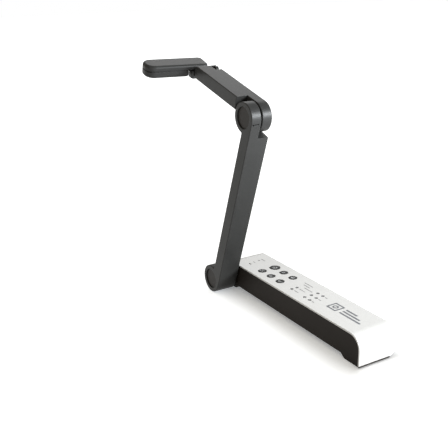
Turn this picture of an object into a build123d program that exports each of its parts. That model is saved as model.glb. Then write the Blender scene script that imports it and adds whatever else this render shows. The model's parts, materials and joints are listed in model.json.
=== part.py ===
from build123d import *
import math
import os

# A folding document camera: a long low base, a two-link arm that hinges beside the base at one
# end, and a camera head that swivels at the arm's tip.  Millimetres, +Z up.
# X runs along the base from the hinge end to the far end.  The arm stands on the -Y side and the
# sockets are on the +Y side.  The origin is the middle of the hinge-end foot pad's underside.
# Every moving piece is modelled folded flat, then turned to its working pose.

# ---- base ----
BASE_LENGTH = 252.0
BASE_WIDTH = 48.0
BASE_TOP = 34.0
HINGE_END_RADIUS = 18.0
FAR_END_RADIUS = 15.0
COVER_THICKNESS = 1.4
COVER_BOTTOM = 2.6
COVER_CORNER_RADIUS = 7.0
TUB_BOTTOM = 6.0
TUB_WALL = 2.2
TUB_EDGE_RADIUS = 5.0
FOOT_INSET = 6.5
LEG_LENGTH = 22.0
LEG_SLOPE = 6.0
PAD_THICKNESS = 1.0
PAD_LENGTH = 7.0
PAD_WIDTH = 36.0

X0 = -FOOT_INSET
X1 = X0 + BASE_LENGTH
ARM_SIDE = -BASE_WIDTH / 2
PORT_SIDE = BASE_WIDTH / 2
COVER_UNDERSIDE = BASE_TOP - COVER_THICKNESS

# ---- arm ----
BARREL_RADIUS = 16.7
ARM_THICKNESS = 14.8
ARM_WIDTH = 25.5
ARM_GAP = 3.5
BOSS_RADIUS = 12.0
ARM_WALL = 2.0
ARM_COVER = 1.6
LOWER_LENGTH = 222.0
UPPER_LENGTH = 108.5
UPPER_END_RADIUS = 6.0
POCKET_WIDTH = 8.4
SHOULDER_GAP = 0.5
KNUCKLE_GAP = 1.3
EDGE_RADIUS = 0.8
BARREL_CORNER = 1.5
AXIS_X = X0 + 14.3
AXIS_Z = 17.2

ARM_Y1 = ARM_SIDE - ARM_GAP
ARM_Y0 = ARM_Y1 - ARM_WIDTH
ARM_MID = (ARM_Y0 + ARM_Y1) / 2
LOWER_SPLIT = ARM_MID - KNUCKLE_GAP / 2
UPPER_SPLIT = ARM_MID + KNUCKLE_GAP / 2
INNER_FACE = BARREL_RADIUS - ARM_THICKNESS
ELBOW_X = AXIS_X + LOWER_LENGTH
SHOULDER = BARREL_RADIUS + SHOULDER_GAP

# ---- shafts ----
SHAFT_RADIUS = 5.0
SHAFT_BORE = 3.0
RUNNING_CLEARANCE = 0.06
WEB = 4.0
WASHER_RADIUS = 9.0
WASHER_THICKNESS = 0.7
NUT_RADIUS = 8.0
NUT_THICKNESS = 2.9
CAP_RADIUS = 11.8
CAP_THICKNESS = 1.6
CAP_RECESS = 1.2

# ---- head ----
HEAD_LENGTH = 75.6
HEAD_WIDTH = 24.9
HEAD_THICKNESS = 14.4
HEAD_DROP = 1.0
HEAD_CORNER = 11.0
HEAD_NEAR_CORNER = 6.0
GROOVE_DEPTH = 0.6
GROOVE_HEIGHT = 0.45
HEAD_EDGE = 3.0
HEAD_WALL = 1.6
HEAD_STEP = 24.4
SEAM = 0.3
PIVOT_REACH = 127.1
PIVOT_SIDE = ARM_Y1 - 8.7
PIVOT_INSET = 4.4
HUB_RADIUS = 7.0
TONGUE_BOTTOM = 3.0
TONGUE_TOP = 9.0
CHIN_BOTTOM = 0.2
SWIVEL_RADIUS = 2.6
SWIVEL_BORE = 1.4
SWIVEL_WASHER = 3.6

HEAD_TOP = BARREL_RADIUS - HEAD_DROP
HEAD_BOTTOM = HEAD_TOP - HEAD_THICKNESS
HEAD_SEAM = TONGUE_TOP + SEAM
HEAD_NEAR = PIVOT_REACH - PIVOT_INSET
HEAD_FAR = HEAD_NEAR + HEAD_LENGTH

# ---- working pose, degrees ----
LOWER_RAISED = 70.3
UPPER_LEVEL = 15.1
HEAD_TURNED = 85.4

# ---- keys and indicators, measured from the hinge end and the arm side ----
KEY_COLUMNS = (62.0, 80.1, 98.2)
KEY_ROWS = (14.2, 32.3)
KEY_RADIUS = 4.9
POWER_RADIUS = 6.3
KEY_PLAY = 0.35
KEY_TOP = BASE_TOP + 0.35
KEY_BOTTOM = 31.5
KEY_FLANGE = 0.6
KEY_DISH = 0.45
LAMP_RADIUS = 1.9
LAMP_PLAY = 0.1
STATUS_X = 122.8
STATUS_ROWS = (13.0, 20.0)
MODE_COLUMNS = (147.6, 156.3)
MODE_ROWS = (12.1, 21.1, 30.1)
MIC_X = 35.4
MIC_Y = 13.8

# ---- boards ----
BOARD_TOP = 15.7
BOARD_THICKNESS = 1.6
KEY_BOARD_TOP = 28.0
KEY_BOARD_THICKNESS = 1.2
SWITCH_SIZE = 6.0
SWITCH_TOP = 30.7
BALLAST_THICKNESS = 3.0

# ---- sockets, along X from the hinge end ----
DC_X = 50.0
HDMI_X = 94.0
MICRO_X = 112.2
USB_X = 131.4
DC_Z = 21.2
DC_HOLE = 4.7

# ---- cover screws, from the hinge end and the arm side ----
SCREW_COLUMNS = (34.5, 175.0, 216.0)
SCREW_ROWS = (7.0, 41.0)
SCREW_SHANK = 1.4
SCREW_HEAD = 2.7

nodes = {}


def along(distance):
    """X of a point that lies this far from the base's hinge end."""
    return X0 + distance


def across(distance):
    """Y of a point that lies this far from the base's arm side."""
    return ARM_SIDE + distance


def block(x0, x1, y0, y1, z0, z1):
    centre = Pos((x0 + x1) / 2, (y0 + y1) / 2, (z0 + z1) / 2)
    return centre * Box(abs(x1 - x0), abs(y1 - y0), abs(z1 - z0))


def rod_y(x, z, radius, y0, y1):
    """Round bar whose axis runs along Y."""
    return Pos(x, (y0 + y1) / 2, z) * Rot(90, 0, 0) * Cylinder(radius, abs(y1 - y0))


def rod_z(x, y, radius, z0, z1):
    """Round bar whose axis runs along Z."""
    return Pos(x, y, (z0 + z1) / 2) * Cylinder(radius, abs(z1 - z0))


def tube_y(x, z, outer, inner, y0, y1):
    return rod_y(x, z, outer, y0, y1) - rod_y(x, z, inner, y0 - 1, y1 + 1)


def tube_z(x, y, outer, inner, z0, z1):
    return rod_z(x, y, outer, z0, z1) - rod_z(x, y, inner, z0 - 1, z1 + 1)


def side_prism(face, y0, y1):
    """Solid whose side view is the given face, between two Y planes."""
    return Pos(0, y0, 0) * extrude(Plane.XZ * face, amount=-(y1 - y0))


def hex_y(x, z, radius, y0, y1):
    """Hexagon bar along Y."""
    return Pos(x, 0, z) * side_prism(RegularPolygon(radius, 6), y0, y1)


def fused(shapes):
    """Separate solids kept as one group."""
    return Compound(children=list(shapes))


# ------------------------------------------------------------------ base


def strip_profile(inset, bottom):
    """Side view of the base: straight sides and quarter-round top corners."""
    left = X0 + inset
    right = X1 - inset
    top = BASE_TOP - inset
    hinge_radius = HINGE_END_RADIUS - inset
    far_radius = FAR_END_RADIUS - inset
    face = Pos((left + right) / 2, (bottom + top) / 2) * Rectangle(right - left, top - bottom)
    corners = face.vertices().sort_by(Axis.Y)[-2:].sort_by(Axis.X)
    face = fillet(corners[0], hinge_radius)
    corner = face.vertices().sort_by(Axis.X)[-2:].sort_by(Axis.Y)[-1]
    return fillet(corner, far_radius)


def end_corner_cut():
    """What is taken off the lower port-side corner of both ends."""
    r = COVER_CORNER_RADIUS
    y = PORT_SIDE - r
    z = COVER_BOTTOM + r
    corner = block(X0 - 1, X1 + 1, y, PORT_SIDE + 1, COVER_BOTTOM - 2, z)
    bar = Pos((X0 + X1) / 2, y, z) * Rot(0, 90, 0) * Cylinder(r, BASE_LENGTH + 4)
    return corner - bar


def screw_spots():
    """X and Y of each cover screw."""
    for x in SCREW_COLUMNS:
        for y in SCREW_ROWS:
            yield along(x), across(y)


def key_places():
    """Name, position and radius of each key."""
    names = (("key_focus", "key_zoom_in", "key_zoom_out"), ("key_power", "key_light", "key_capture"))
    for row, y in enumerate(KEY_ROWS):
        for column, x in enumerate(KEY_COLUMNS):
            name = names[row][column]
            radius = POWER_RADIUS if name == "key_power" else KEY_RADIUS
            yield name, along(x), across(y), radius


def lamp_places():
    """Position of each indicator lamp."""
    for y in STATUS_ROWS:
        yield along(STATUS_X), across(y)
    for x in MODE_COLUMNS:
        for y in MODE_ROWS:
            yield along(x), across(y)


def make_top_cover():
    shell = side_prism(strip_profile(0, COVER_BOTTOM), ARM_SIDE, PORT_SIDE)
    shell -= side_prism(strip_profile(COVER_THICKNESS, COVER_BOTTOM - 5), ARM_SIDE - 1, PORT_SIDE + 1)
    shell -= end_corner_cut()
    rim = [e for e in shell.edges() if e.center().Z > BASE_TOP - 0.01 and e.length > BASE_LENGTH / 2]
    shell = fillet(rim, 0.5)
    for name, x, y, radius in key_places():
        shell -= rod_z(x, y, radius + KEY_PLAY, COVER_UNDERSIDE - 1, BASE_TOP + 1)
    for x, y in lamp_places():
        shell -= rod_z(x, y, LAMP_RADIUS + LAMP_PLAY, COVER_UNDERSIDE - 1, BASE_TOP + 1)
    slot = Pos(along(MIC_X), across(MIC_Y)) * SlotOverall(4.6, 2.2)
    shell -= Pos(0, 0, COVER_UNDERSIDE - 1) * extrude(slot, amount=COVER_THICKNESS + 2)
    for x, y in screw_spots():
        shell += tube_z(x, y, 3.2, SCREW_SHANK + 0.1, TUB_BOTTOM + 2.6, COVER_UNDERSIDE)
    for x, y in key_board_posts():
        shell += rod_z(x, y, 2.0, KEY_BOARD_TOP, COVER_UNDERSIDE)
    return shell


def key_board_posts():
    """Pegs under the cover that hold the key board."""
    for x in (along(50.5), along(109.5)):
        for y in (across(9.0), across(39.0)):
            yield x, y


def make_base_tub():
    t = COVER_THICKNESS
    tub = side_prism(strip_profile(t, TUB_BOTTOM), ARM_SIDE, PORT_SIDE)
    long_edge = [
        e for e in tub.edges()
        if e.center().Z < TUB_BOTTOM + 0.01 and e.center().Y > PORT_SIDE - 0.01 and e.length > 100
    ]
    tub = fillet(long_edge, TUB_EDGE_RADIUS)
    hollow = side_prism(strip_profile(t + TUB_WALL, TUB_BOTTOM + TUB_WALL),
                        ARM_SIDE + TUB_WALL, PORT_SIDE - TUB_WALL)
    roof = block(X0 + HINGE_END_RADIUS, X1 - FAR_END_RADIUS, ARM_SIDE + TUB_WALL,
                 PORT_SIDE - TUB_WALL, COVER_UNDERSIDE - TUB_WALL - 1, COVER_UNDERSIDE + 1)
    tub = tub - hollow - roof
    tub += leg(X0 + t, 1)
    tub += leg(X1 - t, -1)
    tub += rod_y(AXIS_X, AXIS_Z, BOSS_RADIUS, ARM_Y1 + 0.3, ARM_SIDE + TUB_WALL)
    tub -= rod_y(AXIS_X, AXIS_Z, SHAFT_RADIUS + 0.3, ARM_SIDE - 5, ARM_SIDE + TUB_WALL + 1)
    for cutter in port_cutters():
        tub -= cutter
    for x, y in screw_spots():
        tub -= rod_z(x, y, SCREW_SHANK + 0.15, TUB_BOTTOM - 1, TUB_BOTTOM + 4)
        tub -= rod_z(x, y, SCREW_HEAD + 0.2, TUB_BOTTOM - 1, TUB_BOTTOM + 1.1)
    for x, y in board_posts():
        tub += rod_z(x, y, 2.6, TUB_BOTTOM + TUB_WALL, BOARD_TOP - BOARD_THICKNESS)
        tub -= rod_z(x, y, 0.9, TUB_BOTTOM + TUB_WALL + 1, BOARD_TOP)
    return tub


def leg(x, direction):
    """Leg under one end of the tub, with a sloping inner side."""
    foot = PAD_THICKNESS
    reach = x + direction * LEG_LENGTH
    points = [(x, foot), (x, TUB_BOTTOM), (reach + direction * LEG_SLOPE, TUB_BOTTOM), (reach, foot)]
    body = side_prism(make_face(Polyline(*points, close=True)), ARM_SIDE + 1.0, PORT_SIDE - 1.0)
    outside = x - direction * (COVER_THICKNESS - 0.3)
    body += block(x, outside, ARM_SIDE + 0.4, PORT_SIDE - 1.0, foot, COVER_BOTTOM - 0.1)
    return body - end_corner_cut()


def board_posts():
    """Pillars that carry the main board."""
    for x in (along(40.0), along(120.0), along(200.0)):
        for y in (across(14.0), across(34.0)):
            yield x, y


def hdmi_face(width, height):
    """Six-sided outline of the display socket: wide above, narrower below."""
    w = width / 2
    h = height / 2
    c = 2.2
    points = [(-w, h), (w, h), (w, -h + c), (w - c, -h), (-w + c, -h), (-w, -h + c)]
    return make_face(Polyline(*points, close=True))


def port_cutters():
    y0 = PORT_SIDE - TUB_WALL - 1
    y1 = PORT_SIDE + 1
    z = BOARD_TOP + 3.1
    yield rod_y(along(DC_X), DC_Z, DC_HOLE, y0, y1)
    yield Pos(along(HDMI_X), 0, z) * side_prism(hdmi_face(15.6, 6.4), y0, y1)
    yield Pos(along(MICRO_X), 0, BOARD_TOP + 1.6) * side_prism(RectangleRounded(8.6, 3.8, 1.2), y0, y1)
    yield Pos(along(USB_X), 0, BOARD_TOP + 3.5) * side_prism(RectangleRounded(15.2, 7.4, 0.8), y0, y1)


def make_pad(x):
    """Rubber strip under one leg."""
    pad = Pos(x, 0, PAD_THICKNESS / 2) * Box(PAD_LENGTH, PAD_WIDTH, PAD_THICKNESS)
    upright = pad.edges().filter_by(Axis.Z)
    return fillet(upright, 2.0)


def make_ballast():
    """Steel plate that keeps the base down."""
    x0 = along(30.0)
    x1 = along(222.0)
    z0 = TUB_BOTTOM + TUB_WALL
    plate = block(x0, x1, across(10.4), across(37.6), z0, z0 + BALLAST_THICKNESS)
    for x, y in board_posts():
        plate -= rod_z(x, y, 3.0, z0 - 1, z0 + BALLAST_THICKNESS + 1)
    return plate


def make_main_board():
    z0 = BOARD_TOP - BOARD_THICKNESS
    board = block(along(35.0), along(231.0), across(4.5), across(44.5), z0, BOARD_TOP)
    for x, y in screw_spots():
        board -= rod_z(x, y, 3.6, z0 - 1, BOARD_TOP + 1)
    for x, y in board_posts():
        board -= rod_z(x, y, 1.1, z0 - 1, BOARD_TOP + 1)
    return board


def make_board_screws():
    screws = []
    for x, y in board_posts():
        head = rod_z(x, y, 1.9, BOARD_TOP, BOARD_TOP + 1.1)
        head -= block(x - 1.2, x + 1.2, y - 0.25, y + 0.25, BOARD_TOP + 0.6, BOARD_TOP + 2)
        screws.append(head + rod_z(x, y, 0.8, BOARD_TOP - 5.0, BOARD_TOP))
    return fused(screws)


def make_base_screws():
    screws = []
    for x, y in screw_spots():
        head = rod_z(x, y, SCREW_HEAD, TUB_BOTTOM - 0.1, TUB_BOTTOM + 1.1)
        head -= block(x - 1.6, x + 1.6, y - 0.3, y + 0.3, TUB_BOTTOM - 1, TUB_BOTTOM + 0.5)
        head -= block(x - 0.3, x + 0.3, y - 1.6, y + 1.6, TUB_BOTTOM - 1, TUB_BOTTOM + 0.5)
        screws.append(head + rod_z(x, y, SCREW_SHANK, TUB_BOTTOM + 1.0, TUB_BOTTOM + 14.0))
    return fused(screws)


def make_key_board():
    z0 = KEY_BOARD_TOP - KEY_BOARD_THICKNESS
    return block(along(46.0), along(114.0), across(4.5), across(43.5), z0, KEY_BOARD_TOP)


def make_key_switches():
    switches = []
    h = SWITCH_SIZE / 2
    for name, x, y, radius in key_places():
        body = block(x - h, x + h, y - h, y + h, KEY_BOARD_TOP, SWITCH_TOP - 0.6)
        switches.append(body + rod_z(x, y, 1.7, KEY_BOARD_TOP + 0.5, SWITCH_TOP))
    return fused(switches)


def make_key(x, y, radius):
    """Key cap: a shallow dish on top, a skirt, and a flange that stays under the cover."""
    cap = rod_z(x, y, radius, KEY_BOTTOM, KEY_TOP)
    cap = fillet(cap.edges().sort_by(Axis.Z)[-1], 0.5)
    dish_radius = (radius * 0.72) ** 2 / (2 * KEY_DISH) + KEY_DISH / 2
    cap -= Pos(x, y, KEY_TOP + dish_radius - KEY_DISH) * Sphere(dish_radius)
    flange_top = COVER_UNDERSIDE - 0.3
    return cap + rod_z(x, y, radius + 1.2, flange_top - KEY_FLANGE, flange_top)


def make_indicator_lenses():
    """Clear carrier strip with a light pipe under every indicator hole."""
    z0 = COVER_UNDERSIDE - 2.0
    z1 = COVER_UNDERSIDE - 0.8
    left = min(x for x, y in lamp_places()) - 3
    right = max(x for x, y in lamp_places()) + 3
    strip = block(left, right, across(9.5), across(33.0), z0, z1)
    for x, y in lamp_places():
        strip += rod_z(x, y, LAMP_RADIUS, z0, BASE_TOP + 0.05)
    return strip


def make_base_microphone():
    return rod_z(along(MIC_X), across(MIC_Y), 3.0, COVER_UNDERSIDE - 2.7, COVER_UNDERSIDE)


def box_shell(x, z, width, height, wall, y0, y1):
    """Metal sleeve of a socket, closed at the back."""
    outer = block(x - width / 2, x + width / 2, y0, y1, z - height / 2, z + height / 2)
    inner = block(x - width / 2 + wall, x + width / 2 - wall, y0 + 1.5, y1 + 1,
                  z - height / 2 + wall, z + height / 2 - wall)
    return outer - inner


def make_hdmi():
    x = along(HDMI_X)
    z = BOARD_TOP + 3.1
    y1 = PORT_SIDE - 0.4
    y0 = y1 - 11.0
    shell = Pos(x, 0, z) * side_prism(hdmi_face(15.0, 5.8), y0, y1)
    shell -= Pos(x, 0, z) * side_prism(hdmi_face(14.2, 5.0), y0 + 1.5, y1 + 1)
    foot = block(x - 5, x + 5, y0, y0 + 8, BOARD_TOP, z - 2.6)
    tongue = block(x - 5.6, x + 5.6, y0 + 1.5, y1 - 1.4, z - 0.1, z + 1.1)
    nodes["hdmi_shell"] = shell + foot
    nodes["hdmi_tongue"] = tongue


def make_usb_a():
    x = along(USB_X)
    z = BOARD_TOP + 3.5
    y1 = PORT_SIDE - 0.2
    y0 = y1 - 13.5
    shell = box_shell(x, z, 13.4, 6.2, 0.4, y0, y1)
    lip = block(x - 7.3, x + 7.3, y1 - 0.5, y1, z - 3.5, z + 3.5)
    lip -= block(x - 6.3, x + 6.3, y1 - 2, y1 + 1, z - 2.7, z + 2.7)
    foot = block(x - 6, x + 6, y0, y0 + 8, BOARD_TOP, z - 2.9)
    nodes["usb_a_shell"] = shell + lip + foot
    nodes["usb_a_tongue"] = block(x - 5.6, x + 5.6, y0 + 1.5, y1 - 1.9, z + 0.4, z + 2.3)


def make_micro_usb():
    x = along(MICRO_X)
    z = BOARD_TOP + 1.6
    y1 = PORT_SIDE - 0.6
    y0 = y1 - 5.5
    outer = Pos(x, 0, z) * side_prism(RectangleRounded(7.6, 2.9, 0.9), y0, y1)
    inner = Pos(x, 0, z) * side_prism(RectangleRounded(7.0, 2.3, 0.7), y0 + 1, y1 + 1)
    foot = block(x - 3, x + 3, y0, y1 - 1, BOARD_TOP, z - 1.3)
    nodes["micro_usb_shell"] = outer - inner + foot
    nodes["micro_usb_tongue"] = block(x - 2.6, x + 2.6, y0 + 1, y1 - 0.8, z - 0.1, z + 0.6)


def make_dc_jack():
    x = along(DC_X)
    y1 = PORT_SIDE - 1.2
    y0 = y1 - 12.0
    body = block(x - 4.6, x + 4.6, y0, PORT_SIDE - TUB_WALL, BOARD_TOP, DC_Z + 5.2)
    body += rod_y(x, DC_Z, DC_HOLE - 0.15, PORT_SIDE - TUB_WALL - 1, y1)
    body -= rod_y(x, DC_Z, 3.0, y1 - 9.5, y1 + 1)
    body -= rod_y(x, DC_Z, 1.05, y0 - 1, y1)
    nodes["dc_jack_body"] = body
    pin = rod_y(x, DC_Z, 1.0, y0, y1 - 1.6)
    nodes["dc_jack_pin"] = fillet(pin.edges().sort_by(Axis.Y)[-1], 0.4)


def make_hinge_bracket():
    """Steel plate inside the base that holds the hinge shaft."""
    y0 = ARM_SIDE + TUB_WALL
    y1 = y0 + 3.0
    z0 = TUB_BOTTOM + TUB_WALL
    plate = rod_y(AXIS_X, AXIS_Z, 9.8, y0, y1) & block(X0, X0 + 40, y0, y1, z0, BASE_TOP)
    plate += block(AXIS_X - 9.0, AXIS_X + 11.0, y0, y1, z0, AXIS_Z)
    plate += block(AXIS_X - 9.0, AXIS_X + 11.0, y0, y1 + 9.0, z0, z0 + 1.6)
    return plate - rod_y(AXIS_X, AXIS_Z, SHAFT_RADIUS + 0.05, y0 - 1, y1 + 1)


# ------------------------------------------------------------------ arm


def shaft_y(x, z, radius, bore, y0, y1, head_radius, head_length):
    """Hollow hinge shaft with its head at y1."""
    bar = rod_y(x, z, radius, y0, y1) + rod_y(x, z, head_radius, y1 - head_length, y1)
    return bar - rod_y(x, z, bore, y0 - 1, y1 + 1)


def washers_y(x, z, bore, y, count):
    """Stack of dished spring washers, drawn flat, from y towards -Y."""
    pitch = WASHER_THICKNESS + 0.1
    rings = []
    for i in range(count):
        top = y - i * pitch
        rings.append(tube_y(x, z, WASHER_RADIUS, bore, top - WASHER_THICKNESS, top))
    return fused(rings)


def nut_y(x, z, bore, y):
    nut = hex_y(x, z, NUT_RADIUS, y - NUT_THICKNESS, y)
    return nut - rod_y(x, z, bore, y - NUT_THICKNESS - 1, y + 1)


def cap_y(x, z, face, inward):
    """Round plug that closes a barrel, set back from its face."""
    near = face + inward * CAP_RECESS
    far = near + inward * CAP_THICKNESS
    cap = rod_y(x, z, CAP_RADIUS, near, far)
    outer_edge = cap.edges().filter_by(GeomType.CIRCLE).sort_by_distance((x, face, z))[0]
    return fillet(outer_edge, 0.4)


def cap_seat(x, z, face, inward, depth):
    """Cutter for a barrel's cavity: a seat for its plug and a narrower well behind it."""
    seat_end = face + inward * (CAP_RECESS + CAP_THICKNESS)
    seat = rod_y(x, z, CAP_RADIUS + 0.1, face - inward, seat_end)
    return seat + rod_y(x, z, CAP_RADIUS - 1.0, seat_end - inward * 0.1, face + inward * depth)


def make_lower_arm():
    x0 = AXIS_X
    z0 = AXIS_Z
    end = ELBOW_X - SHOULDER
    floor = z0 - BARREL_RADIUS
    roof = z0 - INNER_FACE
    shell = soften(side_prism(link_profile(x0, end, floor, roof), ARM_Y0, ARM_Y1))
    shell += soften(side_prism(link_profile(ELBOW_X, end - 6, floor, roof), ARM_Y0, LOWER_SPLIT))
    w = ARM_WALL
    barrel_web = ARM_Y1 - 10.5
    base_well = abs(barrel_web - WEB - ARM_Y0)
    knuckle_well = abs(LOWER_SPLIT - WEB - ARM_Y0)
    cavity = block(x0 + BARREL_RADIUS + 2, end - w, ARM_Y0 + w, ARM_Y1 - w, floor + w, roof + 1)
    shell -= cavity
    shell -= cap_seat(x0, z0, ARM_Y0, 1, base_well)
    shell -= rod_y(x0, z0, CAP_RADIUS, barrel_web, ARM_Y1 + 1)
    shell -= rod_y(x0, z0, SHAFT_RADIUS + RUNNING_CLEARANCE, ARM_Y0, ARM_Y1)
    shell -= cap_seat(ELBOW_X, z0, ARM_Y0, 1, knuckle_well)
    shell -= rod_y(ELBOW_X, z0, SHAFT_RADIUS + RUNNING_CLEARANCE, ARM_Y0, LOWER_SPLIT + 1)
    shell -= cable_duct(x0 + 6, x0 + BARREL_RADIUS + 4, ARM_Y0 + 7, z0 - 8)
    shell -= cable_duct(end - w - 2, ELBOW_X - 6, ARM_Y0 + 7, z0 - 8)
    nodes["lower_arm_shell"] = shell - stop_slot(floor)
    cover = block(x0 + BARREL_RADIUS + 2.1, end - w - 0.1, ARM_Y0 + w + 0.1, ARM_Y1 - w - 0.1,
                  roof - ARM_COVER, roof)
    screws = []
    for x in (x0 + 30.0, x0 + 110.0, end - 14.0):
        y = ARM_MID + 6.5
        cover -= rod_z(x, y, 1.7, roof - ARM_COVER - 1, roof + 1)
        post = rod_z(x, y, 2.8, floor + w - 0.5, roof - ARM_COVER)
        nodes["lower_arm_shell"] += post - rod_z(x, y, 1.1, roof - 8, roof)
        screws.append(arm_screw(x, y, roof, -1))
    nodes["lower_arm_cover"] = cover
    nodes["lower_arm_screws"] = fused(screws)
    nodes["lower_arm_cable"] = block(x0 + 8, ELBOW_X - 8, ARM_Y0 + 5, ARM_Y0 + 9, z0 - 8.4, z0 - 7.4)
    nodes["barrel_cap"] = cap_y(x0, z0, ARM_Y0, 1)
    nodes["elbow_cap_outer"] = cap_y(ELBOW_X, z0, ARM_Y0, 1)
    web = barrel_web - WEB
    nodes["base_hinge_shaft"] = shaft_y(x0, z0, SHAFT_RADIUS, SHAFT_BORE, web - 6.4,
                                        ARM_SIDE + TUB_WALL + 6.0, 7.0, 3.0)
    nodes["base_hinge_washers"] = washers_y(x0, z0, SHAFT_RADIUS + 0.05, web - 0.2, 3)
    nodes["base_hinge_nut"] = nut_y(x0, z0, SHAFT_RADIUS + 0.03, web - 2.9)


def stop_slot(floor):
    """Narrow slot across the elbow barrel, with a wider pocket at its outer end."""
    slot = block(ELBOW_X - 0.6, ELBOW_X + 0.6, ARM_Y0 + 1.4, ARM_Y0 + 9.5, floor - 1, floor + 1.6)
    return slot + block(ELBOW_X - 1.1, ELBOW_X + 1.1, ARM_Y0 + 1.4, ARM_Y0 + 3.4, floor - 1, floor + 1.6)


def arm_screw(x, y, face, direction):
    """Small countersunk screw, head flush with a cover's face."""
    head = rod_z(x, y, 1.6, face + direction * 0.9, face)
    drive = block(x - 1.0, x + 1.0, y - 0.2, y + 0.2, face + direction * 0.4, face - direction)
    shank = rod_z(x, y, 1.0, face + direction * 6.0, face + direction * 0.8)
    return head - drive + shank


def cable_duct(x0, x1, y, z):
    """Passage for the flat cable."""
    return block(x0, x1, y - 2.5, y + 2.5, z - 1.0, z + 1.4)


def soften(bar):
    """Rounds the outline of both side faces of a bar."""
    for pick in (0, -1):
        face = bar.faces().sort_by(Axis.Y)[pick]
        bar = fillet(face.edges(), EDGE_RADIUS)
    return bar


def link_profile(hub_x, bar_end, z0, z1):
    """Side view of a barrel with a bar that leaves it at a tangent."""
    face = Pos(hub_x, AXIS_Z) * Circle(BARREL_RADIUS)
    face += Pos((hub_x + bar_end) / 2, (z0 + z1) / 2) * Rectangle(abs(hub_x - bar_end), z1 - z0)
    inner = z1 if abs(z1 - AXIS_Z) < abs(z0 - AXIS_Z) else z0
    corner = [v for v in face.vertices() if abs(v.Y - inner) < 0.01 and abs(v.X - bar_end) > 1]
    return fillet(corner, BARREL_CORNER)


def make_upper_arm():
    x0 = ELBOW_X
    z0 = AXIS_Z
    tip = x0 - UPPER_LENGTH
    start = x0 - SHOULDER
    floor = z0 + INNER_FACE
    roof = z0 + BARREL_RADIUS
    bar = block(tip, start, ARM_Y0, ARM_Y1, floor, roof)
    ends = bar.edges().filter_by(Axis.Y).sort_by(Axis.X)[:2]
    shell = soften(fillet(ends, UPPER_END_RADIUS))
    shell += soften(side_prism(link_profile(x0, start - 6, floor, roof), UPPER_SPLIT, ARM_Y1))
    w = ARM_WALL
    knuckle_well = abs(ARM_Y1 - (UPPER_SPLIT + WEB))
    shell -= block(tip + w + 4, start - w, ARM_Y0 + w, ARM_Y1 - w, floor - 1, roof - w)
    shell -= cap_seat(x0, z0, ARM_Y1, -1, knuckle_well)
    shell -= rod_y(x0, z0, SHAFT_RADIUS + 0.05, UPPER_SPLIT - 1, ARM_Y1 + 1)
    shell -= cable_duct(x0 - BARREL_RADIUS - 4, x0 - 6, ARM_Y1 - 6.3, z0 + 8)
    shell -= block(tip - 1, tip + w + 5, ARM_Y0 + 1.5, ARM_Y1 - 1.5, z0 + TONGUE_BOTTOM - 0.05,
                   z0 + TONGUE_TOP + 0.05)
    shell = cut_tip_pocket(shell, tip, roof)
    cover = block(tip + w + 4.1, start - w - 0.1, ARM_Y0 + w + 0.1, ARM_Y1 - w - 0.1, floor,
                  z0 + TONGUE_BOTTOM)
    screws = []
    for x in (start - 14.0, tip + 34.0):
        y = ARM_MID - 6.5
        cover -= rod_z(x, y, 1.7, floor - 1, floor + 3)
        post = rod_z(x, y, 2.8, z0 + TONGUE_BOTTOM, roof - w + 0.5)
        shell += post - rod_z(x, y, 1.1, floor, floor + 8)
        screws.append(arm_screw(x, y, floor, 1))
    nodes["upper_arm_shell"] = shell
    nodes["upper_arm_cover"] = cover
    nodes["upper_arm_screws"] = fused(screws)
    nodes["upper_arm_cable"] = block(tip + 30, x0 - 8, ARM_Y1 - 8.3, ARM_Y1 - 4.3, z0 + 7.6, z0 + 8.6)
    nodes["elbow_cap_inner"] = cap_y(x0, z0, ARM_Y1, -1)
    web = LOWER_SPLIT - WEB
    head_end = UPPER_SPLIT + WEB + 2.2
    nodes["elbow_shaft"] = shaft_y(x0, z0, SHAFT_RADIUS, SHAFT_BORE, web - 5.0, head_end, 8.0, 2.2)
    nodes["elbow_washers"] = washers_y(x0, z0, SHAFT_RADIUS + 0.05, web - 0.2, 2)
    nodes["elbow_nut"] = nut_y(x0, z0, SHAFT_RADIUS + 0.03, web - 2.0)
    make_swivel_bracket(tip)


def cut_tip_pocket(shell, tip, roof):
    """Open pocket in the top edge near the tip: a shallow step, a deep well and a lug beside it."""
    lining = block(tip + 4.3, tip + 18.5, ARM_Y1 - POCKET_WIDTH - 1.2, ARM_Y1 - 1.0, roof - 7.4, roof - 1)
    step = block(tip + 4.0, tip + 17.5, ARM_Y1 - POCKET_WIDTH, ARM_Y1 + 1, roof - 3.6, roof + 1)
    well = block(tip + 5.5, tip + 15.5, ARM_Y1 - POCKET_WIDTH, ARM_Y1 - 3.8, roof - 6.3, roof + 1)
    lug = rod_y(tip + 7.6, roof - 4.6, 4.2, ARM_Y1 - 3.6, ARM_Y1 - 0.2)
    lug &= block(tip, tip + 20, ARM_Y1 - 5, ARM_Y1, roof - 3.7, roof)
    return shell + lining - step - well + lug


def pivot_point():
    """Centre of the head's swivel, folded flat."""
    return ELBOW_X - PIVOT_REACH, PIVOT_SIDE


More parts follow.
